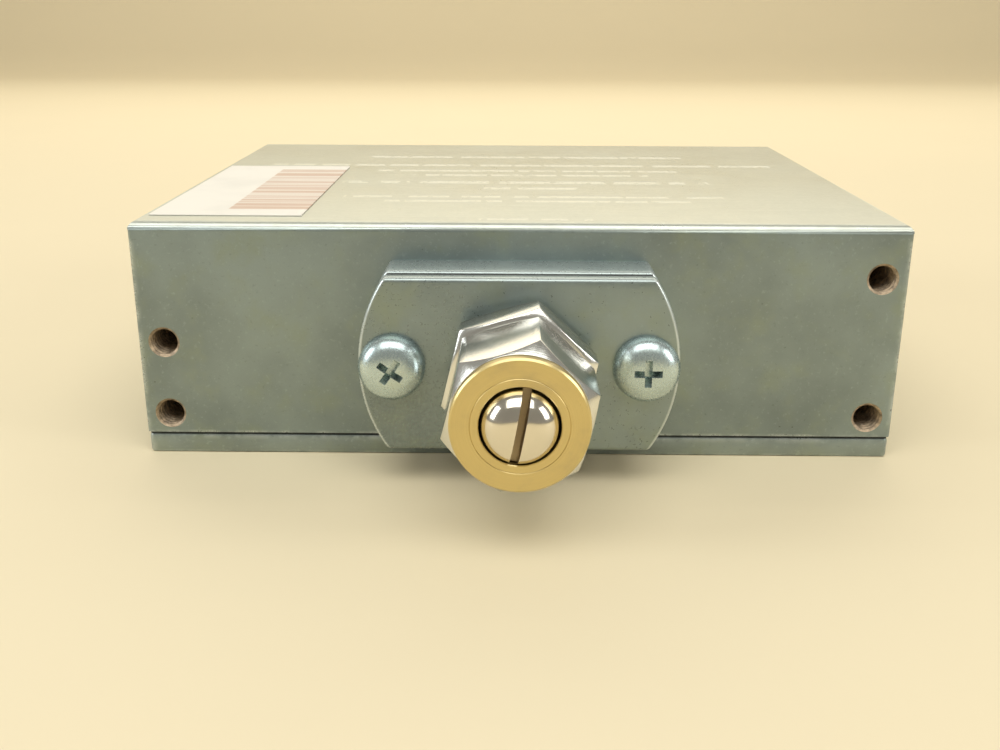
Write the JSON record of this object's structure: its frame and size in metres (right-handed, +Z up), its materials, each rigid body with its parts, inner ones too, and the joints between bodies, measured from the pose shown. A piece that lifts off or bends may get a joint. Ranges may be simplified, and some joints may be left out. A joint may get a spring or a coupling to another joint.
{
  "type": "plunger limit switch",
  "caption": "Flat sealed metal box with a flanged hexagonal head and a slotted, domed plunger that works snap-action switches inside through a lever.",
  "frame": {"origin": "centre of the base plate's flat underside", "axes": "+Z up through the box's height, -Y along the plunger to the domed tip, +Y to the cable entry, X across the box's width"},
  "size_m": [0.095, 0.1239, 0.0302],
  "materials": {
    "plated_steel": "satin blue-grey plated steel",
    "base_steel": "satin blue-grey plated steel, a little darker",
    "black_rubber": "matt black rubber",
    "zinc_screw": "blue zinc plate",
    "nickel": "bright turned nickel plate",
    "bush_brass": "fine-turned brass",
    "polished_tip": "polished hard steel",
    "spring_steel": "drawn spring steel",
    "inner_steel": "zinc-plated steel",
    "phenolic": "dark moulded phenolic",
    "button_plastic": "red moulded plastic",
    "contact_brass": "stamped brass",
    "fibre_sheet": "vulcanised fibre sheet",
    "block_plastic": "cream moulded plastic",
    "lead_sleeve": "blue wire insulation",
    "label_paper": "uncoated label paper with blank bars"
  },
  "bodies": {
    "body": {"base_plate": "base_steel", "base_gasket": "black_rubber", "housing": "plated_steel", "base_screw_front_left": "zinc_screw", "base_screw_front_right": "zinc_screw", "base_screw_rear_left": "zinc_screw", "base_screw_rear_right": "zinc_screw", "stock_label": "label_paper", "flange_block": "plated_steel", "flange_gasket": "black_rubber", "flange_plate": "plated_steel", "flange_screw_left": "zinc_screw", "flange_screw_right": "zinc_screw", "neck_washer": "nickel", "lock_nut": "nickel", "inner_nut": "inner_steel", "plunger_head": "nickel", "guide_bush": "bush_brass", "wiper_ring": "black_rubber", "return_spring": "spring_steel", "lever_pin": "inner_steel", "lever_clip": "spring_steel", "upper_switch_case": "phenolic", "upper_switch_cover": "phenolic", "upper_common_terminal": "contact_brass", "upper_closed_terminal": "contact_brass", "upper_open_terminal": "contact_brass", "lower_switch_case": "phenolic", "lower_switch_cover": "phenolic", "lower_common_terminal": "contact_brass", "lower_closed_terminal": "contact_brass", "lower_open_terminal": "contact_brass", "switch_insulator": "fibre_sheet", "switch_screw_right": "inner_steel", "switch_screw_left": "inner_steel", "terminal_block": "block_plastic", "terminal_screw_1": "inner_steel", "terminal_screw_2": "inner_steel", "terminal_screw_3": "inner_steel", "terminal_screw_4": "inner_steel", "block_screw_left": "inner_steel", "block_screw_right": "inner_steel", "lead_lower_closed": "lead_sleeve", "lead_lower_common": "lead_sleeve", "lead_upper_common": "lead_sleeve", "lead_upper_open": "lead_sleeve", "gland_body": "nickel", "gland_locknut": "nickel", "gland_nut": "nickel", "gland_seal": "black_rubber"},
    "plunger": {"plunger_rod": "inner_steel", "rod_clip": "spring_steel"},
    "tip": {"plunger_tip": "polished_tip"},
    "lever": {"lever": "inner_steel"},
    "upper_button": {"upper_switch_button": "button_plastic"},
    "lower_button": {"lower_switch_button": "button_plastic"},
    "upper_blade": {"upper_switch_blade": "contact_brass"},
    "lower_blade": {"lower_switch_blade": "contact_brass"}
  },
  "joints": [
    {"name": "plunger_travel", "type": "slide", "parent": "body", "child": "plunger", "axis": [0, 1, 0], "range_m": [0, 0.0022], "stiffness_N_per_m": 1200, "springref_m": -0.003, "deforming": ["return_spring"]},
    {"name": "tip_turn", "type": "hinge", "parent": "plunger", "child": "tip", "pos_m": [0, -0.06, 0.015], "axis": [0, 1, 0], "range_deg": [-180, 180]},
    {"name": "lever_swing", "type": "hinge", "parent": "body", "child": "lever", "pos_m": [-0.0185, -0.0214, 0.015], "axis": [0, 0, 1], "range_deg": [0, 7.2]},
    {"name": "upper_button_travel", "type": "slide", "parent": "body", "child": "upper_button", "axis": [0, 1, 0], "range_m": [0, 0.0012]},
    {"name": "lower_button_travel", "type": "slide", "parent": "body", "child": "lower_button", "axis": [0, 1, 0], "range_m": [0, 0.0012]},
    {"name": "upper_blade_swing", "type": "hinge", "parent": "body", "child": "upper_blade", "pos_m": [0.0044, -0.01, 0.02035], "axis": [0, 0, 1], "range_deg": [-5, 0]},
    {"name": "lower_blade_swing", "type": "hinge", "parent": "body", "child": "lower_blade", "pos_m": [0.0044, -0.01, 0.00955], "axis": [0, 0, 1], "range_deg": [-5, 0]}
  ],
  "couplings": [
    {"joint": "lever_swing", "follows": "plunger_travel", "rad_per_m": 54.054},
    {"joint": "upper_button_travel", "follows": "plunger_travel", "ratio": 0.5},
    {"joint": "lower_button_travel", "follows": "plunger_travel", "ratio": 0.5},
    {"joint": "upper_blade_swing", "follows": "plunger_travel", "rad_per_m": -36.63},
    {"joint": "lower_blade_swing", "follows": "plunger_travel", "rad_per_m": -36.63}
  ]
}
